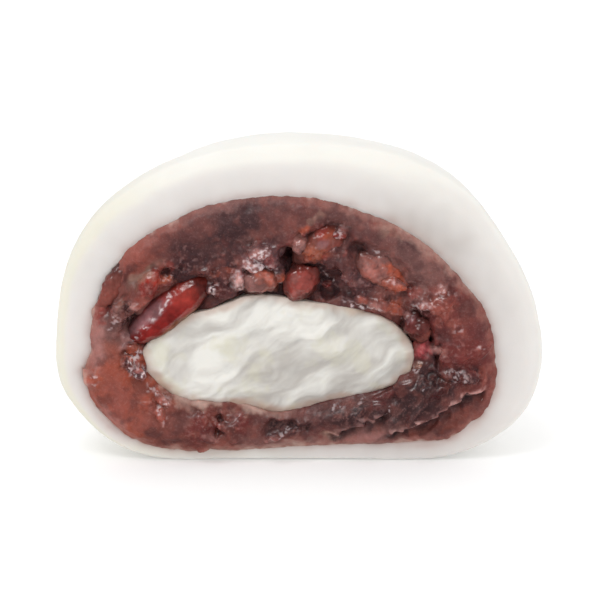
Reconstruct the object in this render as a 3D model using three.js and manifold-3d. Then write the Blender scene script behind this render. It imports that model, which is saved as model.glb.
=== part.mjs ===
// Half of a round daifuku: a soft rice-cake skin round chunky azuki bean paste, with a lens of whipped cream
// in the middle, cut upright through its centre. Millimetres, +Z up, the knife cut faces -Y.
import * as THREE from 'three';
import { ImprovedNoise } from 'three/addons/math/ImprovedNoise.js';
import { mergeVertices } from 'three/addons/utils/BufferGeometryUtils.js';
import Module from 'manifold-3d';

const wasm = await Module();
wasm.setup();
const noise = new ImprovedNoise();

// Whole cake: a flattened dome on a flat underside.
const cakeRadius = 28;
const cakeHeight = 37;
const widestHeight = 11.7;
const undersideRadius = 14;
const crownPower = 2.15;
const shoulderPower = 2.4;
// How far the soft cake leans to one side at a height, and over what height it does so.
const leans = [
  { height: 26, spread: 7, shift: -0.95 },
  { height: 4.5, spread: 2, shift: 0.4 },
];

// The soft underside sags to the board at three low spots, given as x and depth behind the cut.
const underside = { lift: 0.15, spread: 3.2, lowSpots: [[-12.2, 1], [12.2, 1], [-1.5, 15.2]] };

// The knife cut.
const cutOffset = 2.2; // how far the cut lies in front of the cake's axis
const edgeRound = { crown: 2.9, sides: 2.1, underside: 0.4 }; // how far the skin rounds over at the cut
const edgeTurns = { lowest: -0.75, low: -0.1, high: 0.3, highest: 0.9 }; // where that changes, as sines
const heart = { x: -1.5, z: 12.5 }; // every outline is seen from here
const fitGap = 0.3; // between neighbours, shared evenly

// Outlines on the cut, as x and z: the hollow in the skin, and where the cream meets the paste.
const hollowOutline = [
  [22.3, 12.5], [20.9, 18.1], [17.8, 22.3], [13.1, 26.6], [6.6, 29.9], [-1, 31.4], [-9.2, 30.6],
  [-15.8, 27.8], [-21.2, 23.2], [-23.7, 17], [-23.7, 12.9], [-24.4, 9.6], [-21.8, 4.7], [-16, 1.8],
  [-8.5, 1.5], [0, 2], [9.6, 2.4], [16.8, 2.7], [20.6, 5.2], [22.4, 8.6],
];
const creamOutline = [
  [12.9, 12.9], [11.9, 15.1], [9.8, 16.8], [5.3, 18.2], [0.5, 18.9], [-6.2, 19.8], [-10.4, 18.2],
  [-14.6, 15], [-17.6, 11.9], [-14.1, 8.1], [-10.2, 7.5], [-6.2, 6.9], [-2.6, 5.9], [3.2, 7.6],
  [8.8, 8.8], [12.1, 10.4],
];
const hollowDepth = 23.8;
const creamDepth = 11.6;
const depthPower = 2.3; // how full the filling stays towards its back

// Cooked azuki beans that lie whole in the cut face: place, half lengths, lean in degrees, and how far behind
// the cut their middles lie.
const beans = [
  { x: -15.2, z: 17.6, long: 5.9, wide: 2.4, thick: 2.5, lean: 39, sunk: 0.8 },
  { x: -4.6, z: 21.6, long: 2.3, wide: 1.7, thick: 1.9, lean: 5, sunk: 0.6 },
  { x: 2.3, z: 25.8, long: 3.4, wide: 2.0, thick: 2.0, lean: 30, sunk: 0.8 },
  { x: 0.1, z: 21.4, long: 2.2, wide: 1.8, thick: 1.9, lean: 50, sunk: 0.5 },
  { x: 9.1, z: 22.7, long: 3.5, wide: 2.0, thick: 2.0, lean: -40, sunk: 0.9 },
  { x: 13.4, z: 15.6, long: 2.5, wide: 1.5, thick: 1.7, lean: -62, sunk: 0.6 },
  { x: -21.4, z: 20.8, long: 3.6, wide: 1.6, thick: 1.8, lean: 56, sunk: 0.9 },
];
const beanBend = 0.12; // a share of the half width
const beanBlunt = 0.1; // how much fuller than an ellipsoid a bean is, near its ends

// Clumps and bean halves that are part of the paste: place, half lengths, lean and how far they rise.
const clumps = [
  { x: -4.6, z: 25.4, long: 1.6, wide: 1.2, lean: 15, rise: 0.8 },
  { x: 4.4, z: 24.6, long: 2.4, wide: 1.5, lean: 15, rise: 0.8 },
  { x: 8.0, z: 19.5, long: 3.4, wide: 1.1, lean: -8, rise: 0.8 },
  { x: 13.3, z: 19.3, long: 1.6, wide: 1.3, lean: 20, rise: 0.8 },
  { x: 16.4, z: 17.6, long: 2.6, wide: 1.9, lean: 20, rise: 0.8 },
  { x: 18.8, z: 14.4, long: 3.6, wide: 2.4, lean: 80, rise: 0.6 },
  { x: 16.6, z: 13.4, long: 1.8, wide: 1.3, lean: 15, rise: 1.0 },
  { x: 18.6, z: 10.8, long: 1.6, wide: 1.2, lean: 25, rise: 1.0 },
  { x: 14.6, z: 7.9, long: 4.4, wide: 2.1, lean: 32, rise: 1.2 },
  { x: 6.4, z: 5.9, long: 4.6, wide: 1.2, lean: 15, rise: 0.9 },
  { x: -2.0, z: 4.9, long: 2.4, wide: 0.9, lean: -8, rise: 0.6 },
  { x: -7.2, z: 4.4, long: 1.7, wide: 1.4, lean: 40, rise: 0.7 },
  { x: -11.4, z: 3.9, long: 1.9, wide: 1.6, lean: 0, rise: 0.6 },
  { x: -15.9, z: 7.4, long: 1.9, wide: 0.9, lean: -55, rise: 0.7 },
  { x: -20.8, z: 9.4, long: 4.4, wide: 2.4, lean: -75, rise: 0.4 },
  { x: -23.0, z: 10.7, long: 1.4, wide: 1.3, lean: 0, rise: 0.9 },
  { x: -18.8, z: 12.0, long: 1.3, wide: 1.1, lean: 40, rise: 1.1 },
  { x: -17.6, z: 20.6, long: 2.7, wide: 1.2, lean: 48, rise: 0.8 },
  { x: -9.4, z: 21.0, long: 2.0, wide: 1.4, lean: 30, rise: 0.8 },
  { x: 12.6, z: 25.0, long: 3.0, wide: 1.8, lean: -42, rise: 0.3 },
];
// Dark gaps where the knife pulled the beans apart: place, radius and depth.
const gaps = [
  { x: -1.1, z: 24.3, radius: 1.5, depth: 2.4 },
  { x: 3.1, z: 21.2, radius: 2.0, depth: 1.7 },
  { x: 6.4, z: 25.7, radius: 1.2, depth: 1.1 },
  { x: 15.4, z: 12.0, radius: 1.5, depth: 1.2 },
  { x: -7.9, z: 21.6, radius: 1.1, depth: 0.9 },
  { x: -19.6, z: 16.8, radius: 1.1, depth: 1.0 },
  { x: 16.8, z: 5.4, radius: 1.6, depth: 0.8 },
  { x: -9.3, z: 4.6, radius: 0.8, depth: 0.9 },
  { x: 2.6, z: 4.2, radius: 1.0, depth: 0.7 },
];
const pasteSwell = 0.7;
const pasteGrain = { rise: 0.16, size: 1.1, row: 3.1 };
const crumbs = { count: 110, smallest: 0.7, largest: 1.8, rise: 0.65, seed: 7 };
const smear = { above: 0.3, outer: 0.55, keep: 0.25 }; // the smooth band under the crown keeps few crumbs
const creamSwell = 1.1;
const creamSunk = 0.15; // the cream's rim lies this far behind the cut
const creamFolds = { rise: 0.68, lean: 27, pitch: 1.55, stretch: 4.9, row: 1.7, rim: 3 };

// Mesh fineness.
const skinMesh = { around: 72, body: 13, edge: 4, hollow: 6 };
const pasteMesh = { around: 84, back: 7, face: 12, nest: 4 };
const creamMesh = { around: 60, back: 5, face: 8 };
const beanMesh = { around: 14, along: 9 };
const outlineSamples = 720;
const reachSteps = 40; // halvings in the search for the cake's outside

const radians = THREE.MathUtils.degToRad;
const mix = THREE.MathUtils.lerp;
const smooth = THREE.MathUtils.smoothstep;

// The cake's radius at a height.
function radiusAt(z) {
  if (z >= widestHeight) {
    const rise = Math.min(1, (z - widestHeight) / (cakeHeight - widestHeight));
    return cakeRadius * (1 - rise ** crownPower) ** (1 / shoulderPower);
  }
  const drop = (widestHeight - z) / widestHeight;
  if (drop > 1) return -1;
  return undersideRadius + (cakeRadius - undersideRadius) * Math.sqrt(1 - drop * drop);
}

function leanAt(z) {
  const shifts = leans.map(({ height, spread, shift }) => shift * Math.exp(-(((z - height) / spread) ** 2)));
  return shifts.reduce((sum, shift) => sum + shift, 0);
}

function undersideAt(x, depth) {
  const sags = underside.lowSpots.map(([spotX, spotDepth]) =>
    Math.exp(-((x - spotX) ** 2 + (depth - spotDepth) ** 2) / underside.spread ** 2),
  );
  return underside.lift * (1 - Math.max(...sags));
}

// How far the cake reaches from the heart, at a depth behind the cut, in a direction of the cut's plane.
function cakeReach(angle, depth) {
  const behind = Math.max(0, depth - cutOffset);
  const inside = (reach) => {
    const z = heart.z + reach * Math.sin(angle);
    const x = heart.x + reach * Math.cos(angle);
    if (z < undersideAt(x, depth) || z > cakeHeight) return false;
    return Math.hypot(x - leanAt(z), behind) <= radiusAt(z);
  };
  let near = 0;
  let far = 2 * cakeRadius;
  for (let step = 0; step < reachSteps; step++) {
    const middle = (near + far) / 2;
    if (inside(middle)) near = middle;
    else far = middle;
  }
  return near;
}

// An outline's reach from the heart, as a function of the angle.
function outlineReach(points) {
  const curve = new THREE.CatmullRomCurve3(
    points.map(([x, z]) => new THREE.Vector3(x - heart.x, 0, z - heart.z)), true, 'centripetal',
  );
  const samples = curve.getPoints(outlineSamples).map(({ x, z }) => {
    return { angle: Math.atan2(z, x), reach: Math.hypot(x, z) };
  });
  samples.sort((a, b) => a.angle - b.angle);
  return (angle) => {
    const wanted = Math.atan2(Math.sin(angle), Math.cos(angle));
    let after = samples.findIndex((s) => s.angle >= wanted);
    if (after < 0) after = 0;
    const b = samples[after];
    const a = samples[(after + samples.length - 1) % samples.length];
    const span = (b.angle - a.angle + 4 * Math.PI) % (2 * Math.PI) || 1;
    const part = ((wanted - a.angle + 4 * Math.PI) % (2 * Math.PI)) / span;
    return mix(a.reach, b.reach, Math.min(1, part));
  };
}
const hollowReach = outlineReach(hollowOutline);
const creamReach = outlineReach(creamOutline);
const pasteReach = (angle) => hollowReach(angle) - fitGap;

function ringPoint(angle, reach, depth) {
  return new THREE.Vector3(heart.x + reach * Math.cos(angle), depth, heart.z + reach * Math.sin(angle));
}

// A closed surface from rings of points, each ring once round the heart, with a pole before the first and
// after the last.
function loft(firstPole, rings, lastPole) {
  const around = rings[0].length;
  const vertices = [firstPole, ...rings.flat(), lastPole];
  const faces = [];
  const at = (ring, step) => 1 + ring * around + (step % around);
  for (let step = 0; step < around; step++) faces.push(0, at(0, step + 1), at(0, step));
  for (let ring = 0; ring + 1 < rings.length; ring++) {
    for (let step = 0; step < around; step++) {
      const [a, b] = [at(ring, step), at(ring, step + 1)];
      const [c, d] = [at(ring + 1, step), at(ring + 1, step + 1)];
      if ((ring + step) % 2) faces.push(a, b, c, b, d, c);
      else faces.push(a, d, c, a, b, d);
    }
  }
  const end = vertices.length - 1;
  const last = rings.length - 1;
  for (let step = 0; step < around; step++) faces.push(end, at(last, step), at(last, step + 1));
  const geometry = new THREE.BufferGeometry().setFromPoints(vertices);
  geometry.setIndex(faces);
  return geometry;
}

function ringsOf(count, around, place) {
  return Array.from({ length: count }, (_, ring) =>
    Array.from({ length: around }, (_, step) => place(ring, (2 * Math.PI * step) / around)),
  );
}

// Share of the outline left at a share of the depth, as on a blunt dome.
function backShrink(share) {
  return (1 - Math.min(1, share) ** depthPower) ** (1 / depthPower);
}

// Steps that crowd towards the back pole, from nearly 1 down to 0.
function backSteps(count) {
  return Array.from({ length: count }, (_, k) => Math.cos((Math.PI / 2) * ((k + 1) / count)));
}

// How much the skin rounds over at the cut: most at the crown, little where it stands on its underside.
function edgeRoundAt(angle) {
  const rise = Math.sin(angle);
  const side = mix(edgeRound.sides, edgeRound.crown, smooth(rise, edgeTurns.high, edgeTurns.highest));
  return mix(edgeRound.underside, side, smooth(rise, edgeTurns.lowest, edgeTurns.low));
}

function skinGeometry() {
  const { around, body, edge, hollow } = skinMesh;
  const deepest = cutOffset + radiusAt(heart.z);
  const outerDepths = backSteps(body).map((share) => cutOffset + share * (deepest - cutOffset));
  const outer = ringsOf(body, around, (ring, angle) =>
    ringPoint(angle, cakeReach(angle, outerDepths[ring]), outerDepths[ring]),
  );
  const rounding = ringsOf(edge, around, (ring, angle) => {
    const turn = (Math.PI / 2) * ((ring + 1) / edge);
    const round = edgeRoundAt(angle);
    return ringPoint(angle, cakeReach(angle, 0) - round * (1 - Math.cos(turn)), round * (1 - Math.sin(turn)));
  });
  const mouth = ringsOf(1, around, (_, angle) => ringPoint(angle, hollowReach(angle), 0));
  const inner = ringsOf(hollow, around, (ring, angle) => {
    const share = Math.sin((Math.PI / 2) * ((ring + 1) / (hollow + 1)));
    return ringPoint(angle, hollowReach(angle) * backShrink(share), share * hollowDepth);
  });
  const backPole = new THREE.Vector3(heart.x, deepest, heart.z);
  const hollowPole = new THREE.Vector3(heart.x, hollowDepth, heart.z);
  return loft(backPole, [...outer, ...rounding, ...mouth, ...inner], hollowPole);
}

// A domed clump: 1 at its middle, 0 from its edge on.
function domeAt({ x, z, long, wide, lean }, px, pz) {
  const turn = radians(lean);
  const along = ((px - x) * Math.cos(turn) + (pz - z) * Math.sin(turn)) / long;
  const across = ((pz - z) * Math.cos(turn) - (px - x) * Math.sin(turn)) / wide;
  return Math.sqrt(Math.max(0, 1 - along * along - across * across));
}

// Crumbs of crushed bean, scattered over the cut, with fewer in the smeared band under the skin's crown.
function scatterCrumbs() {
  const draw = () => THREE.MathUtils.seededRandom();
  THREE.MathUtils.seededRandom(crumbs.seed);
  const made = [];
  while (made.length < crumbs.count) {
    const angle = 2 * Math.PI * draw();
    const share = draw() ** 0.8;
    const long = mix(crumbs.smallest, crumbs.largest, draw() ** 2);
    const keep = draw();
    const lean = 180 * draw();
    const smeared = Math.sin(angle) > smear.above && share > smear.outer;
    if (smeared && keep > smear.keep) continue;
    const reach = mix(creamReach(angle) + long, pasteReach(angle) - long, share);
    const x = heart.x + reach * Math.cos(angle);
    const z = heart.z + reach * Math.sin(angle);
    made.push({ x, z, long, wide: long * 0.7, lean, rise: crumbs.rise * (long / crumbs.largest) });
  }
  return made;
}
const lumps = [...clumps, ...scatterCrumbs()];

// How far the paste stands out of the cut, at a share of the way from the skin to the cream.
function pasteRise(x, z, share) {
  const lift = Math.max(...lumps.map((lump) => lump.rise * domeAt(lump, x, z)));
  const drop = Math.max(
    ...gaps.map(({ x: gx, z: gz, radius, depth }) =>
      depth * Math.exp(-(((x - gx) ** 2 + (z - gz) ** 2) / (0.5 * radius * radius)))),
  );
  const grain = pasteGrain.rise * noise.noise(x / pasteGrain.size, pasteGrain.row, z / pasteGrain.size);
  const middle = Math.sin(Math.PI * Math.min(1, share * 1.15));
  return (pasteSwell + lift + grain) * Math.sqrt(Math.max(0, middle)) - drop * middle;
}

function pasteGeometry() {
  const { around, back, face, nest } = pasteMesh;
  const pasteDepth = hollowDepth - fitGap;
  const nestReach = (angle) => creamReach(angle) + fitGap / 2;
  const nestDepth = creamDepth + fitGap / 2;
  const backRings = ringsOf(back, around, (ring, angle) => {
    const share = backSteps(back)[ring];
    return ringPoint(angle, pasteReach(angle) * backShrink(share), share * pasteDepth);
  });
  const faceRings = ringsOf(face, around, (ring, angle) => {
    const share = (ring + 1) / face;
    const point = ringPoint(angle, mix(pasteReach(angle), nestReach(angle), share), 0);
    point.y = -pasteRise(point.x, point.z, share);
    return point;
  });
  const nestRings = ringsOf(nest, around, (ring, angle) => {
    const share = Math.sin((Math.PI / 2) * ((ring + 1) / (nest + 1)));
    return ringPoint(angle, nestReach(angle) * backShrink(share), share * nestDepth);
  });
  const backPole = new THREE.Vector3(heart.x, pasteDepth, heart.z);
  const nestPole = new THREE.Vector3(heart.x, nestDepth, heart.z);
  return loft(backPole, [...backRings, ...faceRings, ...nestRings], nestPole);
}

// The cream's torn face: soft folds that lean up to the right.
function creamRise(x, z, share) {
  const turn = radians(creamFolds.lean);
  const along = (x * Math.cos(turn) + z * Math.sin(turn)) / creamFolds.stretch;
  const across = z * Math.cos(turn) - x * Math.sin(turn);
  const fold = noise.noise(along, creamFolds.row, across / creamFolds.pitch);
  const swell = Math.sqrt(Math.max(0, 1 - share * share));
  return creamSwell * swell - creamSunk + creamFolds.rise * fold * Math.min(1, creamFolds.rim * (1 - share));
}

function creamGeometry(margin) {
  const { around, back, face } = creamMesh;
  const backRings = ringsOf(back, around, (ring, angle) => {
    const share = backSteps(back)[ring];
    return ringPoint(angle, (creamReach(angle) + margin) * backShrink(share), share * (creamDepth + margin));
  });
  const faceRings = ringsOf(face, around, (ring, angle) => {
    const share = 1 - (ring + 1) / (face + 1);
    const point = ringPoint(angle, (creamReach(angle) + margin) * share, 0);
    point.y = -margin - creamRise(point.x, point.z, share);
    return point;
  });
  const backPole = new THREE.Vector3(heart.x, creamDepth + margin, heart.z);
  const facePole = new THREE.Vector3(heart.x, -margin - creamRise(heart.x, heart.z, 0), heart.z);
  return loft(backPole, [...backRings, ...faceRings], facePole);
}

// The room inside the skin, carried on in front of the cut: no bean reaches outside it.
function pasteRoomGeometry() {
  const depths = [creamDepth, -beans[0].long];
  const walls = ringsOf(depths.length, pasteMesh.around, (ring, angle) =>
    ringPoint(angle, pasteReach(angle), depths[ring]),
  );
  const [back, front] = depths.map((depth) => new THREE.Vector3(heart.x, depth, heart.z));
  return loft(back, walls, front);
}

// A plump bean, a little blunter than an ellipsoid and slightly bent, grown by a margin all round.
function beanGeometry({ x, z, long, wide, thick, lean, sunk }, margin) {
  const geometry = new THREE.SphereGeometry(1, beanMesh.around, beanMesh.along);
  geometry.rotateZ(Math.PI / 2);
  const place = geometry.getAttribute('position');
  for (let i = 0; i < place.count; i++) {
    const along = place.getX(i);
    const bend = beanBend * wide * along * along;
    const blunt = 1 + beanBlunt * along * along * (1 - along * along);
    place.setXYZ(
      i,
      along * (long + margin),
      place.getY(i) * (thick + margin) * blunt,
      place.getZ(i) * (wide + margin) * blunt - bend,
    );
  }
  geometry.rotateY(-radians(lean));
  geometry.translate(x, sunk, z);
  return geometry;
}

// manifold-3d in and out.
function solidOf(geometry) {
  const bare = new THREE.BufferGeometry().setAttribute('position', geometry.getAttribute('position'));
  bare.setIndex(geometry.index);
  const merged = mergeVertices(bare, 1e-4);
  return new wasm.Manifold(
    new wasm.Mesh({
      numProp: 3,
      vertProperties: new Float32Array(merged.getAttribute('position').array),
      triVerts: new Uint32Array(merged.index.array),
    }),
  );
}

function geometryOf(solid) {
  const { vertProperties, triVerts } = solid.getMesh();
  const geometry = new THREE.BufferGeometry();
  geometry.setAttribute('position', new THREE.BufferAttribute(new Float32Array(vertProperties), 3));
  geometry.setIndex(new THREE.BufferAttribute(new Uint32Array(triVerts), 1));
  return geometry;
}

function largestOf(solid) {
  return solid.decompose().sort((a, b) => b.volume() - a.volume())[0];
}

// Materials.
const finishes = {
  skin: new THREE.MeshStandardMaterial({ color: 0xf1ece6, roughness: 0.6, metalness: 0 }),
  paste: new THREE.MeshStandardMaterial({ color: 0x7a4a45, roughness: 0.45, metalness: 0 }),
  cream: new THREE.MeshStandardMaterial({ color: 0xece9e2, roughness: 0.5, metalness: 0 }),
  bean: new THREE.MeshStandardMaterial({ color: 0x9c3a2c, roughness: 0.3, metalness: 0 }),
};

function addPiece(group, name, geometry, material) {
  const flat = geometry.index ? geometry.toNonIndexed() : geometry;
  flat.computeVertexNormals();
  const mesh = new THREE.Mesh(flat, material);
  mesh.name = name;
  group.add(mesh);
}

function buildHalf() {
  const half = new THREE.Group();
  const pasteRoom = solidOf(pasteRoomGeometry());
  const creamAndGap = solidOf(creamGeometry(fitGap / 2));
  let paste = solidOf(pasteGeometry());
  let taken = creamAndGap;
  const wholeBeans = beans.map((bean) => {
    const piece = solidOf(beanGeometry(bean, 0)).intersect(pasteRoom).subtract(taken);
    const pocket = solidOf(beanGeometry(bean, fitGap));
    paste = paste.subtract(pocket);
    taken = taken.add(pocket);
    return largestOf(piece);
  });
  addPiece(half, 'mochi_skin', skinGeometry(), finishes.skin);
  addPiece(half, 'bean_paste', geometryOf(largestOf(paste)), finishes.paste);
  addPiece(half, 'cream_filling', creamGeometry(-fitGap / 2), finishes.cream);
  wholeBeans.forEach((bean, index) => {
    addPiece(half, `azuki_bean_${index + 1}`, geometryOf(bean), finishes.bean);
  });
  const box = new THREE.Box3().setFromObject(half);
  const middle = box.getCenter(new THREE.Vector3());
  half.position.set(-middle.x, -middle.y, -box.min.z);
  return half;
}

export default buildHalf();
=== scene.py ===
import math
import random

import bpy
import numpy as np
from mathutils import Matrix, Vector, noise
from mathutils.bvhtree import BVHTree


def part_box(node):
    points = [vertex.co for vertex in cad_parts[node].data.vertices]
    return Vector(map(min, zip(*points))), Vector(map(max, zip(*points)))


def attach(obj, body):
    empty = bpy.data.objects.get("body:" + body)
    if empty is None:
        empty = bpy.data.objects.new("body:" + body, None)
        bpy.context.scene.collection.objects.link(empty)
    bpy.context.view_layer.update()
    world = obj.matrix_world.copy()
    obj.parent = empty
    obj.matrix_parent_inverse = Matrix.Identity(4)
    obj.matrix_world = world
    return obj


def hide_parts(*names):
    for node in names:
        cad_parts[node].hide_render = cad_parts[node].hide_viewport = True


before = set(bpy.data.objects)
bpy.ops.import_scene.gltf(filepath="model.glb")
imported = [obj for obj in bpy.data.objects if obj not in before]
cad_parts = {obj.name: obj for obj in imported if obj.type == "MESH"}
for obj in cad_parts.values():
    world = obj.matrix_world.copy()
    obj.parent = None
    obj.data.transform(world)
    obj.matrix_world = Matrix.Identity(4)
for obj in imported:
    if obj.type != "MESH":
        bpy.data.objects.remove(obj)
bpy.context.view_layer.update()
mm = 0.001
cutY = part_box("mochi_skin")[0].y  # the knife cut's plane, which faces -Y
heart = (-1.5, 12.5)  # the outlines on the cut are measured from here, in mm

# Colours as they look in plain daylight, in 0-255.
tones = {
    "mauve": (113, 66, 62),
    "dusty": (126, 83, 78),
    "brick": (144, 76, 66),
    "rust": (164, 76, 52),
    "orange": (176, 86, 54),
    "red": (156, 50, 39),
    "deepRed": (140, 30, 26),
    "maroon": (84, 42, 41),
    "wine": (112, 50, 47),
    "brown": (122, 66, 58),
    "plum": (72, 45, 47),
    "dark": (54, 37, 41),
    "salmon": (160, 88, 76),
    "pink": (168, 116, 110),
    "lilac": (158, 112, 116),
    "amber": (162, 100, 58),
    "cherry": (176, 76, 80),
    "rosy": (208, 158, 152),
    # whitish, for painted glints
    "paintedGlint": (228, 210, 212),
    "tan": (150, 114, 100),
    "smear": (198, 166, 154),
}


def linear(tone):
    def one(value):
        share = value / 255
        return share / 12.92 if share <= 0.04045 else ((share + 0.055) / 1.055) ** 2.4
    return tuple(one(value) for value in tone)


def blend(colour, tone, share):
    return colour * (1 - share)[:, None] + np.array(linear(tones[tone])) * share[:, None]


def smoothStep(low, high, value):
    share = np.clip((value - low) / (high - low), 0, 1)
    return share * share * (3 - 2 * share)


def onlySelect(*pieces):
    bpy.ops.object.select_all(action="DESELECT")
    for piece in pieces:
        piece.select_set(True)
    bpy.context.view_layer.objects.active = pieces[0]


def applyAll(piece):
    onlySelect(piece)
    for modifier in list(piece.modifiers):
        bpy.ops.object.modifier_apply(modifier=modifier.name)


def nodeCopy(nodeName, pieceName):
    piece = bpy.data.objects.new(pieceName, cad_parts[nodeName].data.copy())
    bpy.context.scene.collection.objects.link(piece)
    onlySelect(piece)
    bpy.ops.mesh.customdata_custom_splitnormals_clear()
    bpy.ops.object.mode_set(mode="EDIT")
    bpy.ops.mesh.select_all(action="SELECT")
    bpy.ops.mesh.remove_doubles(threshold=0.002 * mm)
    bpy.ops.object.mode_set(mode="OBJECT")
    piece.data.materials.clear()
    return piece


def places(piece):
    found = np.empty(len(piece.data.vertices) * 3, np.float32)
    piece.data.vertices.foreach_get("co", found)
    return found.reshape(-1, 3)


def movePlaces(piece, moved):
    piece.data.vertices.foreach_set("co", np.asarray(moved, np.float32).ravel())
    piece.data.update()


def outwards(piece):
    found = np.empty(len(piece.data.vertices) * 3, np.float32)
    piece.data.vertices.foreach_get("normal", found)
    return found.reshape(-1, 3)


def grow(piece, distance):
    movePlaces(piece, places(piece) + outwards(piece) * distance * mm)


def addModifier(piece, kind, **settings):
    modifier = piece.modifiers.new(kind.lower(), kind)
    for key, value in settings.items():
        setattr(modifier, key, value)


def voxelRemesh(piece, size, rounds):
    addModifier(piece, "REMESH", mode="VOXEL", voxel_size=size * mm, use_smooth_shade=True)
    addModifier(piece, "SMOOTH", factor=0.5, iterations=rounds)
    applyAll(piece)


def neighbourMean(piece, values, rounds):
    edges = np.empty(len(piece.data.edges) * 2, np.int32)
    piece.data.edges.foreach_get("vertices", edges)
    first, second = edges.reshape(-1, 2).T
    count = len(piece.data.vertices)
    ways = np.bincount(first, minlength=count) + np.bincount(second, minlength=count)
    mean = np.asarray(values, float)
    for _ in range(rounds):
        total = np.bincount(first, weights=mean[second], minlength=count)
        total += np.bincount(second, weights=mean[first], minlength=count)
        mean = total / np.maximum(ways, 1)
    return mean


def paintValue(piece, name, values):
    attribute = piece.data.attributes.new(name, "FLOAT", "POINT")
    attribute.data.foreach_set("value", np.asarray(values, np.float32))


def paintColour(piece, name, colours):
    full = np.ones((len(colours), 4), np.float32)
    full[:, :3] = colours
    attribute = piece.data.attributes.new(name, "FLOAT_COLOR", "POINT")
    attribute.data.foreach_set("color", full.ravel())


def noiseAt(points, size, seed, octaves=1):
    shift = Vector((seed * 7.3, seed * 3.1, seed * 5.7))
    found = []
    for point in points:
        spot = Vector(point) / (size * mm) + shift
        found.append(noise.fractal(spot, 0.6, 2.0, octaves, noise_basis="PERLIN_ORIGINAL"))
    return np.array(found)


# Noise each way, from three places in one field. Blender's own noise_vector isn't the same in every run.
def noiseWays(spot):
    shifts = (9.3, -1.5, -8), (0, 0, 0), (6.3, 0.2, -2.7)
    return Vector([noise.noise(spot + Vector(shift)) for shift in shifts])


def pebblesAt(points, size, seed):
    shift = Vector((seed * 3.7, seed * 9.1, seed * 1.3))
    domes, marks = [], []
    for point in points:
        spot = Vector(point) / (size * mm) + shift
        spot += noiseWays(spot * 0.9) * 0.4
        distances, centres = noise.voronoi(spot)
        domes.append(1 - min(1, distances[0] / 0.8) ** 2)
        marks.append(noise.cell(centres[0] * 31))
    return np.array(domes), np.array(marks)


# How far points lie along a line that leans by some degrees on the cut, and across it.
def alongAcross(x, z, lean):
    turn = math.radians(lean)
    return x * math.cos(turn) + z * math.sin(turn), z * math.cos(turn) - x * math.sin(turn)


# The same inside an oval on the cut, as shares of its half length and half width.
def ovalSpots(points, x, z, long, wide, lean):
    along, across = alongAcross(points[:, 0] / mm - x, points[:, 2] / mm - z, lean)
    return along / long, across / wide


def ovalAt(points, *oval):
    return np.hypot(*ovalSpots(points, *oval))


def polar(points):
    dx, dz = points[:, 0] / mm - heart[0], points[:, 2] / mm - heart[1]
    return np.arctan2(dz, dx), np.hypot(dx, dz)


# How many directions from the heart a node's outline is measured in.
outlineParts = {"bean_paste": 60, "cream_filling": 48}


def outlineOf(nodeName):
    parts = outlineParts[nodeName]
    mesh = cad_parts[nodeName].data
    angle, reach = polar(np.array([v.co for v in mesh.vertices]))
    part = ((angle + math.pi) / (2 * math.pi) * parts).astype(int) % parts
    middles = (np.arange(parts) + 0.5) / parts * 2 * math.pi - math.pi
    return middles, np.array([reach[part == index].max() for index in range(parts)])


# How far inside a node's outline the points lie, in mm.
def insideBy(points, nodeName):
    angle, reach = polar(points)
    return np.interp(angle, *outlineOf(nodeName), period=2 * math.pi) - reach


# A value that changes towards some angles, given as degrees, spread and how much more.
def around(points, base, rows):
    angle = np.degrees(polar(points)[0])
    value = np.full(len(points), float(base))
    for middle, spread, more in rows:
        value += more * np.exp(-((((angle - middle + 180) % 360 - 180) / spread) ** 2))
    return value


# The cake's lower left part, which sets in between two heights and between two places across.
def lowLeftAt(points, high, low, right, left):
    return smoothStep(high, low, points[:, 2] / mm) * smoothStep(right, left, points[:, 0] / mm)


# Moved about sideways, so that edges painted by place run unevenly.
def wobbled(points, size, reach, seed):
    moved = points.copy()
    moved[:, 0] += noiseAt(points, size, seed, 2) * reach * mm
    moved[:, 2] += noiseAt(points, size, seed + 1, 2) * reach * mm
    return moved


def surfaceOf(piece):
    mesh = piece.data
    return BVHTree.FromPolygons([v.co for v in mesh.vertices], [tuple(p.vertices) for p in mesh.polygons])


def newMaterial(name, **sockets):
    material = bpy.data.materials.new(name)
    material.use_nodes = True
    tree = material.node_tree
    shader = tree.nodes["Principled BSDF"]
    for key, value in sockets.items():
        shader.inputs[key.replace("_", " ")].default_value = value
    return material, tree, shader


def subsurface(shader, weight, radius, scale):
    shader.inputs["Subsurface Weight"].default_value = weight
    shader.inputs["Subsurface Radius"].default_value = radius
    shader.inputs["Subsurface Scale"].default_value = scale * mm


def readAttribute(tree, name, output="Fac"):
    node = tree.nodes.new("ShaderNodeAttribute")
    node.attribute_name = name
    return node.outputs[output]


def noiseNode(tree, size, detail=3.0, roughness=0.55):
    spot = tree.nodes.new("ShaderNodeTexCoord")
    node = tree.nodes.new("ShaderNodeTexNoise")
    node.inputs["Scale"].default_value = 1 / (size * mm)
    node.inputs["Detail"].default_value = detail
    node.inputs["Roughness"].default_value = roughness
    tree.links.new(spot.outputs["Object"], node.inputs["Vector"])
    return node.outputs["Fac"]


def spread(tree, source, low, high, fromLow=0.3, fromHigh=0.7):
    node = tree.nodes.new("ShaderNodeMapRange")
    node.inputs["From Min"].default_value = fromLow
    node.inputs["From Max"].default_value = fromHigh
    node.inputs["To Min"].default_value = low
    node.inputs["To Max"].default_value = high
    tree.links.new(source, node.inputs["Value"])
    return node.outputs["Result"]


def mixColour(tree, share, first, second, way="MIX"):
    node = tree.nodes.new("ShaderNodeMix")
    node.data_type = "RGBA"
    node.blend_type = way
    factor, colourA, colourB = node.inputs[0], node.inputs[6], node.inputs[7]
    for value, socket in ((share, factor), (first, colourA), (second, colourB)):
        if isinstance(value, bpy.types.NodeSocket):
            tree.links.new(value, socket)
        elif isinstance(value, tuple):
            socket.default_value = (*value, 1)
        else:
            socket.default_value = value
    return node.outputs[2]


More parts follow.
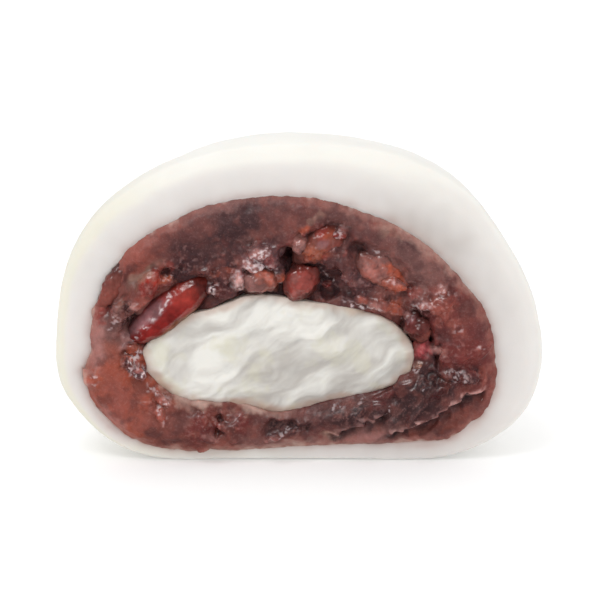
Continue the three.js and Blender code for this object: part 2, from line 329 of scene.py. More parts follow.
def addBump(tree, shader, height, distance, strength=1.0, below=None):
    bump = tree.nodes.new("ShaderNodeBump")
    bump.inputs["Distance"].default_value = distance * mm
    bump.inputs["Strength"].default_value = strength
    tree.links.new(height, bump.inputs["Height"])
    if below:
        tree.links.new(below.outputs["Normal"], bump.inputs["Normal"])
    tree.links.new(bump.outputs["Normal"], shader.inputs["Normal"])
    return bump


def finishPiece(piece, material, slot, *nodeNames):
    piece.data.materials.clear()
    piece.data.materials.append(material)
    onlySelect(piece)
    bpy.ops.object.shade_smooth()
    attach(piece, "root")
    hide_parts(*nodeNames)
    print(f"{piece.name}: {len(piece.data.polygons)} faces")


# Angles in degrees, distance and aim in mm.
view = {
    "azimuth": -0.8, "elevation": 16.0, "roll": 0.3,
    "distance": 400, "lens": 200, "sensor": 36, "aim": (0.8, 0, 14.57),
}


def makeCamera():
    data = bpy.data.cameras.new("camera")
    data.lens = view["lens"]
    data.sensor_width = view["sensor"]
    camera = bpy.data.objects.new("camera", data)
    turn, rise = math.radians(view["azimuth"]), math.radians(view["elevation"])
    back = Vector((math.sin(turn) * math.cos(rise), -math.cos(turn) * math.cos(rise), math.sin(rise)))
    camera.location = Vector(view["aim"]) * mm + back * view["distance"] * mm
    look = (-back).to_track_quat("-Z", "Y").to_matrix().to_4x4()
    camera.rotation_euler = (look @ Matrix.Rotation(math.radians(view["roll"]), 4, "Z")).to_euler()
    bpy.context.scene.collection.objects.link(camera)
    bpy.context.scene.camera = camera


# Soft light from all round, a wide lamp above and in front, and another that only shows in wet highlights.
studio = {
    "world": 1.0, "floorSize": 3, "floor": 0.82, "floorGlow": 0.2,
    "lamp": {"power": 0.6, "width": 25, "from": (-0.3, -0.42, 1.0), "diffuse": True},
    "glint": {"power": 1.05, "width": 26, "from": (-0.4, -0.42, 1.0), "diffuse": False},
}


def makeStudio():
    bpy.ops.object.select_all(action="DESELECT")
    bpy.ops.mesh.primitive_plane_add(size=studio["floorSize"], location=(0, 0, 0))
    floor = bpy.context.object
    floor.name = "floor"
    material, _, shader = newMaterial("floor", Roughness=0.9)
    grey = studio["floor"]
    shader.inputs["Base Color"].default_value = (grey, grey, grey, 1)
    shader.inputs["Specular IOR Level"].default_value = 0
    shader.inputs["Emission Color"].default_value = (1, 1, 1, 1)
    shader.inputs["Emission Strength"].default_value = studio["floorGlow"]
    floor.data.materials.append(material)
    floor.visible_glossy = False
    world = bpy.data.worlds.new("studio")
    world.use_nodes = True
    background = world.node_tree.nodes["Background"]
    background.inputs["Color"].default_value = (1, 1, 1, 1)
    background.inputs["Strength"].default_value = studio["world"]
    bpy.context.scene.world = world
    bpy.context.scene.view_settings.view_transform = "Standard"
    world.cycles_visibility.glossy = False
    for name in ("lamp", "glint"):
        data = bpy.data.lights.new(name, "SUN")
        data.energy = studio[name]["power"]
        data.angle = math.radians(studio[name]["width"])
        lamp = bpy.data.objects.new(name, data)
        lamp.rotation_euler = Vector(studio[name]["from"]).to_track_quat("Z", "Y").to_euler()
        lamp.visible_diffuse = studio[name]["diffuse"]
        bpy.context.scene.collection.objects.link(lamp)
    print("studio: camera, floor and lamps")


# The rice dough. Lengths are in mm and angles in degrees.
skinShape = {
    "levels": 2, "quadAngle": 60, "creaseAngle": 65, "cuts": 2, "closeIn": 0.9,
    "dent": 0.22, "dentSize": 11, "ripple": 0.05, "rippleSize": 2.4,
    # the paste stains the dough that touches it, partly a real stain and partly painted shade where the
    # dark paste shows through, more towards some angles: degrees, spread, share
    "bleed": 0.32, "bleedShare": 0.5, "stains": [(205, 12, 0.3), (333, 14, 0.3), (250, 14, -0.15)],
    # painted shade makes the dough greyer round the paste, in a veil that is stronger towards some angles
    "shadeVeilWidth": 2.5, "shadeVeilShare": 0.045,
    "shadeVeils": [(41, 21, 0.47), (128, 22, 0.09), (12, 9, 0.12), (335, 16, 0.08)],
    "colours": {
        "outside": (235, 233, 227), "litCrown": (239, 237, 232), "ivory": (225, 222, 209),
        "cutFace": (225, 221, 218), "shadeVeil": (160, 148, 140), "stain": (168, 112, 96),
    },
}


def mochiMaterial():
    material, tree, shader = newMaterial("mochi", Roughness=0.6, Specular_IOR_Level=0.05)
    subsurface(shader, 0.55, (1.0, 0.85, 0.75), 2.2)
    colours = skinShape["colours"]
    colour = linear(colours["outside"])
    # Over the outside colour: painted light on the crown, the ivory, the cut, painted grey shade round the
    # paste, and the stain, partly painted shade.
    for layer in ("litCrown", "ivory", "cutFace", "shadeVeil", "stain"):
        colour = mixColour(tree, readAttribute(tree, layer), colour, linear(colours[layer]))
    shade = spread(tree, noiseNode(tree, 6, 2), 0.97, 1.0)
    colour = mixColour(tree, 1.0, colour, shade, "MULTIPLY")
    tree.links.new(colour, shader.inputs["Base Color"])
    soft = addBump(tree, shader, noiseNode(tree, 0.35, 4, 0.7), 0.05, 0.3)
    addBump(tree, shader, noiseNode(tree, 5, 2), 0.3, 0.3, soft)
    return material


def makeSkin():
    # Smoothed from its own quads, with the sharp edges of the hollow creased.
    skin = nodeCopy("mochi_skin", "mochiSkin")
    bpy.ops.object.mode_set(mode="EDIT")
    bpy.ops.mesh.select_all(action="SELECT")
    quadAngle = math.radians(skinShape["quadAngle"])
    bpy.ops.mesh.tris_convert_to_quads(face_threshold=quadAngle, shape_threshold=quadAngle)
    bpy.ops.mesh.select_all(action="DESELECT")
    bpy.ops.mesh.edges_select_sharp(sharpness=math.radians(skinShape["creaseAngle"]))
    bpy.ops.transform.edge_crease(value=1)
    bpy.ops.object.mode_set(mode="OBJECT")
    addModifier(skin, "SUBSURF", levels=skinShape["levels"], render_levels=skinShape["levels"])
    applyAll(skin)
    # The flat of the cut has finer faces, for its painted edges.
    flat = [face.normal.y < -0.98 and face.center.y < cutY + 0.2 * mm for face in skin.data.polygons]
    skin.data.polygons.foreach_set("select", flat)
    bpy.ops.object.mode_set(mode="EDIT")
    bpy.ops.mesh.select_mode(type="FACE")
    bpy.ops.mesh.subdivide(number_cuts=skinShape["cuts"])
    bpy.ops.object.mode_set(mode="OBJECT")
    # The wall of the hollow closes in on the paste, so that no gap shows.
    spots, out = places(skin), outwards(skin)
    angle = polar(spots)[0]
    radial = np.stack([np.cos(angle), np.zeros(len(angle)), np.sin(angle)], 1)
    wall = smoothStep(0.02, 0.3, -(out * radial).sum(1))
    movePlaces(skin, spots - radial * (wall * skinShape["closeIn"] * mm)[:, None])
    # Soft dents, off the cut and the underside, and a fine ripple.
    spots, out = places(skin), outwards(skin)
    behind = spots[:, 1] - cutY
    off = smoothStep(0.2 * mm, 4 * mm, behind) * smoothStep(0.3 * mm, 3 * mm, spots[:, 2])
    dents = noiseAt(spots, skinShape["dentSize"], 1.0, 2) * skinShape["dent"] * off
    ripples = noiseAt(spots, skinShape["rippleSize"], 2.0, 2) * skinShape["ripple"]
    ripples *= smoothStep(0.2 * mm, 1.5 * mm, spots[:, 2])
    movePlaces(skin, spots + out * ((dents + ripples) * mm)[:, None])
    return skin


def paintSkin(skin, paste):
    surface = surfaceOf(paste)
    spots, out = places(skin), outwards(skin)
    behind = (spots[:, 1] - cutY) / mm
    far = np.full(len(spots), 9.0)
    for index in np.flatnonzero(behind < 4):
        distance = surface.find_nearest(Vector(spots[index]), 9 * mm)[3]
        if distance is not None:
            far[index] = distance / mm
    # The cut's greyer colour, partly its own and partly painted shade near the paste, fades outwards, but
    # runs further round the edge on the right.
    right = smoothStep(8, 20, spots[:, 0] / mm)
    facing = smoothStep(0.8 - 0.5 * right, 0.99 - 0.2 * right, -out[:, 1])
    facing *= 1 - smoothStep(1.2, 3.2, behind)
    facing *= 1 - 0.8 * smoothStep(1.8, 5.5, far) * (1 - 0.6 * right)
    # At the lower left the cut gives way to the lighter outside colour, painted light on the shaded bottom.
    facing *= 1 - lowLeftAt(spots, 3, 1, 4, -6)
    paintValue(skin, "cutFace", facing)
    left = smoothStep(-12, -25, spots[:, 0] / mm)
    paintValue(skin, "ivory", left * (1 - smoothStep(1, 13, behind)))
    # Painted light: the crown, further back from the cut, is lighter.
    litCrown = smoothStep(2, 9, behind) * (1 - 0.7 * left * (1 - smoothStep(4, 14, behind)))
    paintValue(skin, "litCrown", litCrown)
    patchy = 0.85 + 0.4 * noiseAt(spots, 3, 8.0, 2)
    # The stain is partly real and partly painted shade where the dark paste shows through.
    stain = around(spots, skinShape["bleedShare"], skinShape["stains"]) * np.exp(-far / skinShape["bleed"])
    # Painted shade: a grey veil round the paste.
    shadeVeil = around(spots, skinShape["shadeVeilShare"], skinShape["shadeVeils"])
    shadeVeil *= np.exp(-((far / (skinShape["shadeVeilWidth"] * (1 + shadeVeil))) ** 2))
    paintValue(skin, "stain", np.clip(stain * patchy, 0, 1))
    paintValue(skin, "shadeVeil", np.clip(shadeVeil * patchy, 0, 1))


# The azuki beans that lie in the cut. Lengths are in mm.
longBean = 1  # the red one at the cream's left, smoother than the others
beanShape = {
    "grow": 0.2, "voxel": 0.15, "wrinkleSize": 1.5,
    # x, z, half length, half width and lean
    "places": {
        1: (-15.2, 17.6, 5.9, 2.4, 39), 2: (-4.6, 21.6, 2.3, 1.7, 5), 3: (2.3, 25.8, 3.4, 2, 30),
        4: (0.1, 21.4, 2.2, 1.8, 50), 5: (9.1, 22.7, 3.5, 2, -40), 6: (13.4, 15.6, 2.5, 1.5, -62),
        7: (-21.4, 20.8, 3.6, 1.6, 56),
    },
    # how much of its length and width a bean keeps, and how far it moves to the right and up
    "fit": {1: (1, 0.9, 0.15, 0.45), 6: (0.8, 0.95, -0.1, 0.6)},
    # tones at one end and the other, wrinkles, brightness, painted pinkish glints and gloss
    "looks": {
        1: ("deepRed", "red", 0.08, 0.92, 0, 0.7), 2: ("dusty", "rust", 0.4, 1, 0.6, 0.6),
        3: ("brick", "red", 0.35, 0.8, 0.5, 0.45), 4: ("red", "red", 0.3, 0.85, 0.5, 0.6),
        5: ("dusty", "rust", 0.5, 1.1, 0.5, 0.4), 6: ("wine", "brick", 0.4, 0.9, 0.15, 0.15),
        7: ("brick", "maroon", 0.3, 0.85, 0.15, 0.3),
    },
    # ovals of another tone, and how strong each is; the lilac ones on the long bean's upper side and at
    # bean 6's upper left are painted sheen
    "patches": [
        (-12.6, 20.8, 2.2, 1.3, 38, "red", 0.6), (-10.6, 20.2, 0.7, 1.4, 40, "maroon", 0.6),
        (-13.3, 16.9, 3.8, 0.5, 37, "amber", 0.65), (-17.3, 17.6, 3.6, 0.8, 44, "lilac", 0.75),
        (1.5, 25, 1.5, 1, 10, "orange", 0.95), (3.4, 27.1, 1, 0.7, 25, "rust", 0.85),
        (2.5, 26.1, 0.9, 0.5, 30, "lilac", 0.6), (4.8, 26.4, 0.9, 0.9, 0, "brick", 0.6),
        (-0.3, 25.6, 0.6, 1, 0, "pink", 0.6), (7.5, 23.2, 1.9, 1.3, -40, "salmon", 0.8),
        (7.2, 23.6, 1, 0.7, -40, "pink", 0.6), (10.2, 21.2, 1.2, 0.8, -30, "orange", 0.6),
        (12.2, 17.4, 0.8, 0.6, 0, "lilac", 0.75), (-0.6, 22.2, 0.5, 0.7, 0, "pink", 0.4),
        (-6.2, 22.2, 1.1, 0.9, 0, "pink", 0.6), (0.3, 21.5, 2, 1.6, 50, "pink", 0.25),
    ],
}


def beanMaterial():
    material, tree, shader = newMaterial("azukiBean", Roughness=0.32, IOR=1.46)
    subsurface(shader, 0.15, (1.0, 0.3, 0.2), 0.8)
    shader.inputs["Coat Roughness"].default_value = 0.18
    painted = readAttribute(tree, "beanColour", "Color")
    tree.links.new(readAttribute(tree, "gloss"), shader.inputs["Coat Weight"])
    shade = spread(tree, noiseNode(tree, 0.6, 4, 0.6), 0.8, 1.2)
    colour = mixColour(tree, 1.0, painted, shade, "MULTIPLY")
    tree.links.new(colour, shader.inputs["Base Color"])
    small = addBump(tree, shader, noiseNode(tree, 0.3, 3, 0.6), 0.06, 0.5)
    addBump(tree, shader, noiseNode(tree, 0.9, 3, 0.6), 0.2, 0.5, small)
    return material


def makeBean(index):
    wrinkle = beanShape["looks"][index][2]
    place = beanShape["places"][index]
    bean = nodeCopy(f"azuki_bean_{index}", f"azukiBean{index}")
    grow(bean, beanShape["grow"])
    voxelRemesh(bean, beanShape["voxel"], 6)
    spots, out = places(bean), outwards(bean)
    along, across = ovalSpots(spots, *place)
    wrinkles = noiseAt(spots, beanShape["wrinkleSize"], index, 3) * wrinkle
    spots = spots + out * (wrinkles * mm)[:, None]
    keepLong, keepWide, right, up = beanShape["fit"].get(index, (1, 1, 0, 0))
    long, wide, turn = place[2], place[3], math.radians(place[4])
    axis = np.array([math.cos(turn), 0, math.sin(turn)])
    spots -= axis * ((1 - keepLong) * along * long * mm)[:, None]
    axis = np.array([-math.sin(turn), 0, math.cos(turn)])
    spots -= axis * ((1 - keepWide) * across * wide * mm)[:, None]
    spots += np.array([right, 0, up]) * mm
    movePlaces(bean, spots)
    colourBean(bean, index, spots, along, across)
    return bean


def colourBean(bean, index, spots, along, across):
    lowTone, highTone, _, bright, glintShare, glossShare = beanShape["looks"][index]
    mottle = noiseAt(spots, 1.8, index + 20, 3)
    uneven = 0.15 if index == longBean else 0.5
    ripe = smoothStep(-0.1, 1.0, along + 0.25 * across + uneven * mottle)[:, None]
    colour = np.array(linear(tones[lowTone])) * (1 - ripe) + np.array(linear(tones[highTone])) * ripe
    for *oval, tone, strength in beanShape["patches"]:
        share = strength * (1 - smoothStep(0.5, 1.3, ovalAt(spots, *oval) + 0.3 * mottle))
        colour = blend(colour, tone, share)
    # Painted pinkish glints, broken up into sparkles.
    sparkle = smoothStep(0.0, 0.3, noiseAt(spots, 0.5, 51, 2))
    paintedGlint = glintShare * smoothStep(0.0, 0.4, noiseAt(spots, 1.6, index + 60, 2))
    colour = blend(colour, "pink", paintedGlint * (0.4 + 0.6 * sparkle))
    if index == longBean:  # a painted highlight in a broken streak along its upper side
        streak = np.exp(-(((across - 0.38 - 0.5 * along) / 0.13) ** 2)) * (1 - smoothStep(0.1, 0.4, along))
        colour = blend(colour, "paintedGlint", 0.9 * streak * sparkle)
    outward = np.hypot(along, across)
    if index != longBean:  # paste clings to its edge
        colour = blend(colour, "mauve", 0.45 * smoothStep(0.6, 1.0, outward))
    # Painted shade: it is darker where it sinks into the paste, and towards its rim.
    depth = (spots[:, 1] - spots[:, 1].min()) / mm
    shade = (1 - 0.5 * smoothStep(0.5, 1.9, depth)) * (1 - 0.35 * smoothStep(0.45, 1.1, outward))
    colour *= (shade * (1 + 0.35 * mottle))[:, None] * bright
    paintColour(bean, "beanColour", colour)
    patchy = 0.35 + 0.65 * smoothStep(-0.15, 0.25, noiseAt(spots, 0.9, index + 40, 2))
    paintValue(bean, "gloss", glossShare * patchy)


# The whipped cream, torn into folds and streaks that lean and are drawn out. Lengths are in mm.
creamShape = {
    "voxel": 0.22, "grow": 0.52, "lean": 33, "drawnOut": 3.4, "wander": 1.6,
    "fold": 0.15, "foldSize": 2.6, "streak": 0.07, "streakSize": 0.9,
    # it rises towards the long bean by this much, and lies lower beside the bean's upper end
    "rise": 0.8, "lower": 0.6,
    "colours": {
        "bright": (231, 229, 223), "grey": (189, 184, 178), "yellow": (214, 210, 184),
        "stain": (182, 142, 120),
    },
}


def creamMaterial():
    colours = creamShape["colours"]
    material, tree, shader = newMaterial("whippedCream", Roughness=0.5, IOR=1.4)
    subsurface(shader, 0.5, (1.0, 0.9, 0.8), 0.9)
    tone = readAttribute(tree, "tone")
    # The painted tone mixes bright and grey, as painted light and shade.
    colour = mixColour(tree, tone, linear(colours["bright"]), linear(colours["grey"]))
    share = spread(tree, noiseNode(tree, 3.4, 3), 0.0, 0.55, 0.52, 0.72)
    colour = mixColour(tree, share, colour, linear(colours["yellow"]))
    colour = mixColour(tree, readAttribute(tree, "edge"), colour, linear(colours["stain"]))
    tree.links.new(colour, shader.inputs["Base Color"])
    addBump(tree, shader, noiseNode(tree, 0.5, 4, 0.6), 0.07, 0.35)
    return material


def makeCream():
    cream = nodeCopy("cream_filling", "whippedCream")
    grow(cream, creamShape["grow"])
    voxelRemesh(cream, creamShape["voxel"], 3)
    spots, out = places(cream), outwards(cream)
    along, across = alongAcross(spots[:, 0], spots[:, 2], creamShape["lean"])
    wander = noiseAt(spots, 5, 4.0, 2) * creamShape["wander"] * mm
    drawn = np.stack([along / creamShape["drawnOut"], spots[:, 1], across + wander], 1)
    folds = noiseAt(drawn, creamShape["foldSize"], 5.0, 2)
    streaks = noiseAt(drawn, creamShape["streakSize"], 6.0, 3)
    rise = creamShape["fold"] * folds + creamShape["streak"] * streaks
    front = smoothStep(-0.1, 0.6, -out[:, 1])
    meet = ovalAt(spots, *beanShape["places"][longBean])
    x, z = spots[:, 0] / mm, spots[:, 2] / mm
    rising = (1 - smoothStep(1.1, 1.7, meet)) * smoothStep(-10, -14, x) * creamShape["rise"] * mm
    lower = np.exp(-(((x + 8.5) / 3.2) ** 2)) * smoothStep(15, 19, z) * creamShape["lower"] * mm
    moved = spots + out * (rise * front * mm)[:, None]
    moved[:, 0] -= rising * 0.5
    moved[:, 2] += rising - lower
    movePlaces(cream, moved)
    # Painted shade darkens it towards the lower right and painted light brightens its folds and streaks; it
    # is stained by the paste at its rim and beside the long bean.
    shadeDownRight = (x - (z - heart[1])) / 12
    patches = noiseAt(drawn, 3.2, 12, 3)
    tone = 0.48 + 0.34 * shadeDownRight - 0.6 * folds - 0.3 * streaks + 0.4 * patches
    paintValue(cream, "tone", np.clip(tone, 0, 1))
    rim = insideBy(wobbled(spots, 1.5, 0.4, 31), "cream_filling")
    low = lowLeftAt(spots, 12, 8, 3, -5)
    edge = (0.5 + 0.25 * low) * (1 - smoothStep(-0.3, 0.9 + 0.7 * low, rim))
    paintValue(cream, "edge", np.maximum(edge, 0.6 * (1 - smoothStep(1.0, 1.35, meet))))
    return cream


# The paste's features on the cut, each given as x, z, half length, half width and lean, and then its own
# values. Lengths are in mm.
pasteShape = {
    "grow": 0.95, "growInside": 0.35, "fillGrow": 0.5, "fillBack": 1.1, "coarse": 0.2, "fine": 0.17,
    "hiddenFaces": 0.06,
    # lumps are thinner than they are wide, and lie no deeper than this behind the cut
    "lumpKinds": 6, "lumpBumps": 0.28, "lumpThick": 0.88, "deepest": 4.5,
    # crumbs: how many, within which x and z, and the smallest size and how much larger they may be
    "crumbs": 140, "seed": 11, "crumbArea": ((-25, 23), (1, 32)), "crumbSize": (0.4, 0.9),
    # heights of broad waves, ripples, pebbles, small pebbles and torn ridges
    "wave": 0.55, "ripple": 0.2, "pebble": 0.6, "smallPebble": 0.12, "ridge": 0.32,
    # depths of the furrows round lumps, beans and the long bean
    "furrow": 0.3, "beanFurrow": 0.4, "longBeanFurrow": 0.7,
    # how much of it may lap over the dough: more is spared towards some angles
    "lap": 0.55, "spare": [(200, 9, -0.5), (230, 14, -0.35)],
    # the small bits' tones: where in 0-1 a bit's mark has to lie
    "bits": [
        (0, 0.26, "dark"), (0.26, 0.5, "plum"), (0.62, 0.76, "red"), (0.76, 0.88, "rust"),
        (0.88, 1, "salmon"),
    ],
    # where the paste is chunky rather than smeared
    "chunky": [
        (-14.5, 22.6, 3.5, 1.6, 30), (-8.4, 22.6, 3.3, 2.3, 0), (-4.1, 23.8, 3, 2.8, 0),
        (2.3, 25.7, 3.7, 2.8, 0), (4.2, 21.6, 3.5, 2.1, 0), (10, 20.4, 5.2, 2.6, -15),
        (15.2, 18.6, 3, 2.6, 0), (13.4, 13.9, 1.6, 2.6, 0), (18.6, 10.6, 2.4, 1.6, 0),
        (-9.5, 4.7, 2.6, 1.6, 0), (-18.9, 12.1, 1.5, 2.1, 0), (-15.8, 7.3, 1.6, 1.6, 0),
        (-19.9, 17.4, 1.9, 1.6, 0),
    ],
    # where its border is softer: degrees, spread, share
    "soft": [(41, 24, 0.7), (275, 34, 0.7), (225, 14, 0.4)],
    # where it is torn into thin ridges that lean to the right
    "torn": [
        (14.2, 8.6, 4.4, 2.6, 25), (6, 6.3, 5, 1.4, 12), (-1.5, 4.6, 4, 1.2, 0), (11.5, 5.6, 2.6, 1.4, 20),
    ],
    "tearLean": 50, "tearLength": 2.6,
    # torn ledges low down, as x and z along the lip: how proud the lip stands and how hollow it is below
    "ledges": [
        ([(9.6, 3.3), (12.2, 4.2), (13.8, 4.8), (15.3, 5.7), (17.6, 7.2), (19.1, 8.1), (21.6, 9.2)],
         0.85, 1),
        ([(2.8, 3.3), (4.7, 3.7), (6.5, 5), (8.4, 5.3), (10.2, 6.6)], 0.5, 0.7),
    ],
    # lumps and bean halves: how proud they stand, and their tone
    "lumps": [
        (-17.1, 21.4, 1.9, 1.1, 52, 0.5, "red"), (-15, 21.5, 0.9, 0.5, 15, 0.7, "orange"),
        (-18.6, 18.8, 0.9, 0.4, 15, 0.7, "pink"), (-17.6, 19.7, 1.1, 0.6, 35, 0.4, "brick"),
        (-22.6, 18, 1.2, 0.9, 60, 0.4, "red"), (-9.1, 20.5, 1.9, 1, -10, 0.6, "maroon"),
        (-9.8, 20.8, 0.7, 0.5, 10, 1, "plum"), (-6.9, 21.5, 0.9, 1.2, 0, 1.1, "rosy"),
        (-4.7, 25.3, 1.4, 0.9, -10, 0.9, "pink"), (-5.2, 23.4, 1.3, 0.8, -20, 0.7, "pink"),
        (-2.4, 21.9, 0.95, 0.8, 0, 0.7, "rust"), (1.3, 26, 0.5, 1, -10, 0.9, "pink"),
        (-0.1, 25.8, 0.7, 1, -20, 0.8, "pink"), (4.5, 27.2, 0.9, 0.7, 20, 0.9, "red"),
        (1.5, 24.6, 1.3, 0.85, 10, 0.8, "rust"), (0.5, 27.7, 0.9, 0.5, 50, 0.3, "rust"),
        (7.1, 21.7, 1.9, 1, -15, 0.4, "plum"), (10.7, 21.4, 1.3, 0.7, -15, 1, "rust"),
        (10.8, 21.9, 0.9, 0.35, -30, 0.6, "salmon"), (6.9, 19.6, 0.8, 0.6, -10, 0.9, "salmon"),
        (8.3, 19.1, 0.7, 0.6, 0, 0.9, "pink"), (9.6, 18.8, 0.8, 0.7, -10, 0.9, "brick"),
        (11.1, 18.5, 1, 0.9, -25, 0.9, "rust"), (12.3, 17.6, 0.6, 0.6, 0, 1.1, "pink"),
        (16.3, 20.7, 0.9, 0.6, 0, 0.7, "pink"), (14, 19.1, 0.9, 0.7, 20, 0.8, "pink"),
        (16.3, 18.8, 1.9, 1.3, 10, 0.4, "brick"), (17.9, 16.4, 1.2, 0.9, -30, 0.2, "brick"),
        (14, 13.4, 1.3, 1.15, 30, 1.2, "cherry"), (18.8, 13.5, 2.9, 1.8, 20, 0.3, "wine"),
        (15.8, 13.4, 1, 0.5, 10, 0.9, "pink"), (19.1, 11, 1.4, 0.9, -20, 0.9, "plum"),
        (13.5, 11.6, 0.7, 0.3, 35, 1.1, "tan"), (12.2, 9.2, 1.8, 1.2, 40, 0.4, "plum"),
        (15.8, 8.8, 1.6, 0.9, 40, 0.5, "maroon"), (9.4, 7.9, 1.6, 0.9, 30, 0.4, "wine"),
        (3.8, 3.4, 1.3, 0.6, 15, 0.3, "tan"), (-19.2, 12.1, 1, 0.7, -50, 1.1, "plum"),
        (-18.3, 10.8, 1, 0.6, -45, 1.2, "plum"), (-19.1, 13.7, 0.7, 0.7, 0, 0.8, "rust"),
        (-15.6, 7.8, 1.3, 0.6, -45, 0.9, "pink"), (-15.8, 6, 0.6, 0.9, 0, 0.6, "salmon"),
        (-23.7, 10.5, 1.3, 1.3, 0, 0.8, "rust"), (-11.3, 4.3, 1.8, 2, 0, 0.3, "wine"),
        (-10.3, 3.2, 1.2, 0.5, -10, 0.4, "pink"), (-6.6, 5, 1.2, 0.8, 35, 0.25, "wine"),
        (-3, 3.3, 0.9, 0.5, 10, 0.6, "pink"), (-10.7, 6.7, 1.6, 0.7, -10, 0.4, "brown"),
        (20.9, 10.6, 0.7, 1.2, 0, 0.3, "brick"), (-12.6, 25, 1.6, 1, 20, 0.4, "plum"),
        (-10.9, 22.6, 1, 0.7, 0, 0.7, "plum"),
    ],
    # painted glints on the lumps: how strong
    "paintedGlints": [
        (-4.5, 25.2, 1.3, 0.8, 10, 0.9), (-6.7, 21.7, 1.1, 1.4, -10, 0.45),
        (-4.8, 23.4, 2.1, 1, -20, 0.9), (-3.4, 21.2, 1.4, 0.4, 0, 0.6), (-9.8, 20.7, 0.9, 0.6, 40, 0.8),
        (-18.9, 12.3, 0.6, 1.2, -35, 1), (-18.2, 11, 0.6, 1.3, -50, 1),
        (-17.2, 11.2, 0.7, 0.5, -30, 0.8), (-15.8, 7.9, 1.8, 0.4, -50, 0.7),
        (-15.6, 6.2, 0.4, 1.1, -10, 0.5), (7, 18.6, 1.9, 0.5, -20, 0.8), (13.7, 18.8, 0.9, 0.6, 0, 0.6),
        (15.9, 20.3, 0.9, 0.5, -20, 0.4), (3.4, 26.6, 2.2, 0.7, 30, 0.5), (2.7, 22.4, 0.5, 0.2, -30, 0.9),
        (3.7, 21.4, 0.5, 0.2, -50, 0.9), (12.2, 17.2, 0.6, 0.5, 0, 0.9), (18.3, 10.8, 1.1, 0.8, 0, 0.45),
        (20.4, 14.6, 1, 0.3, -40, 0.4), (-18.9, 15.7, 2, 0.4, 55, 0.5), (-14.8, 21.8, 0.8, 0.3, 20, 0.4),
        (-1.5, 3.8, 1.8, 0.35, 5, 0.5), (11.3, 11.4, 1, 0.3, 60, 0.7), (6.8, 7.6, 1.2, 0.3, 50, 0.4),
        (13.6, 11.4, 0.9, 0.2, 40, 0.7), (14.2, 9, 0.7, 0.15, 50, 0.6), (4.4, 6.7, 0.9, 0.2, 50, 0.45),
        (10.2, 6.6, 0.9, 0.15, 50, 0.7), (14.2, 19.2, 0.8, 0.4, 60, 0.4), (18, 16.4, 0.7, 0.7, 0, 0.3),
        (10.6, 22.2, 0.7, 0.25, -40, 0.5), (8.6, 25.1, 0.3, 0.3, 0, 0.5), (-21, 16.7, 0.9, 0.35, 30, 0.4),
        (-2.6, 3.6, 0.8, 0.3, 10, 0.4), (-23.2, 10.7, 0.25, 0.25, 0, 0.6), (-23.1, 9.5, 0.3, 0.2, 0, 0.6),
    ],
    # broad swells and hollows: their height
    "swells": [
        (-17, 26, 6.5, 1.7, 40, 0.7), (-18.5, 22, 4, 1, 50, -0.6), (-21.5, 9, 5.5, 2.4, -75, 0.6),
        (-16, 4.4, 4.5, 1.6, -15, 0.5), (-6, 28.5, 6, 1.6, 8, 0.4), (8, 27.6, 6, 1.6, -25, 0.5),
        (16, 22, 3.4, 2, -50, 0.4), (20, 13.5, 3, 2.2, 80, 0.4), (14.6, 8, 5, 2.2, 28, 0.5),
        (6, 6.4, 5, 1.2, 14, 0.5), (17, 4.6, 5, 0.9, 30, -0.5),
    ],
    # dark gaps: their depth
    "gaps": [
        (-1.3, 24.4, 1.15, 1.15, 0, 2.3), (-0.9, 23.2, 0.8, 0.8, -30, 1.5), (3.2, 22.2, 1.5, 1.5, 0, 1.9),
        (4.6, 20.7, 2.2, 1.1, -10, 1.3), (3.6, 20.2, 1.4, 0.8, -12, 1.6), (6.5, 25.4, 1, 1.1, 0, 0.6),
        (-14.4, 22.8, 1.9, 0.8, 18, 0.8), (-19.4, 17.9, 0.9, 1.4, 12, 0.8),
        (-20, 19.9, 0.7, 0.5, 40, 0.5), (-7.5, 20.2, 0.6, 0.8, -20, 1.4),
        (15.4, 13.6, 0.5, 2.4, 15, 1.2), (16, 10.4, 1.6, 0.6, -5, 0.9), (-9.2, 4.5, 0.7, 1.6, -15, 0.65),
        (-1.8, 4.4, 2.8, 0.6, -3, 0.8), (8.2, 29.3, 0.3, 0.3, 0, 1),
    ],
    # patches of another tone in the smeared paste: how strong; the dark ones over the gaps are painted
    # shade
    "patches": [
        (-7.7, 28, 2.6, 1.2, 25, "plum", 0.6), (-17.9, 22.3, 2.5, 0.6, 42, "tan", 0.9),
        (-20.3, 18.8, 0.6, 0.9, -30, "tan", 0.5), (19.1, 18.1, 1.3, 1.4, 0, "brown", 0.5),
        (-17.8, 26.4, 2.9, 0.9, 40, "brick", 0.6), (1.7, 29, 1.3, 0.4, 60, "tan", 0.6),
        (9.9, 27.4, 1.5, 0.9, -20, "tan", 0.5), (19.2, 20.6, 1.2, 1, -50, "mauve", 0.8),
        (16.6, 24.2, 1.8, 0.5, -50, "tan", 0.5), (12.1, 26.2, 1.9, 0.8, -30, "plum", 0.6),
        (18.8, 22, 0.9, 0.9, 0, "plum", 0.6), (20.2, 19, 0.9, 1, 0, "plum", 0.5),
        (-23.4, 15.1, 0.6, 0.7, 0, "plum", 0.7), (-22.6, 7.5, 1.4, 2.4, 30, "rust", 0.4),
        (-20.2, 4.3, 2.6, 0.9, -35, "rust", 0.7), (-21.6, 12.7, 1.6, 2.1, 0, "rust", 0.45),
        (-18.7, 6.2, 1.4, 1.2, 0, "rust", 0.35), (-17.9, 8.6, 1.3, 1.3, 0, "salmon", 0.35),
        (-18.7, 11.2, 1.6, 0.8, -60, "lilac", 0.8), (-13, 2.6, 2.6, 0.5, 0, "plum", 0.4),
        (19.4, 13.9, 2.6, 1.8, 0, "wine", 0.7), (7.4, 3, 2.8, 0.8, 5, "pink", 0.6),
        (-5, 2.6, 2.4, 0.8, 0, "dusty", 0.7), (4.4, 28.6, 3.2, 0.9, -12, "dusty", 0.6),
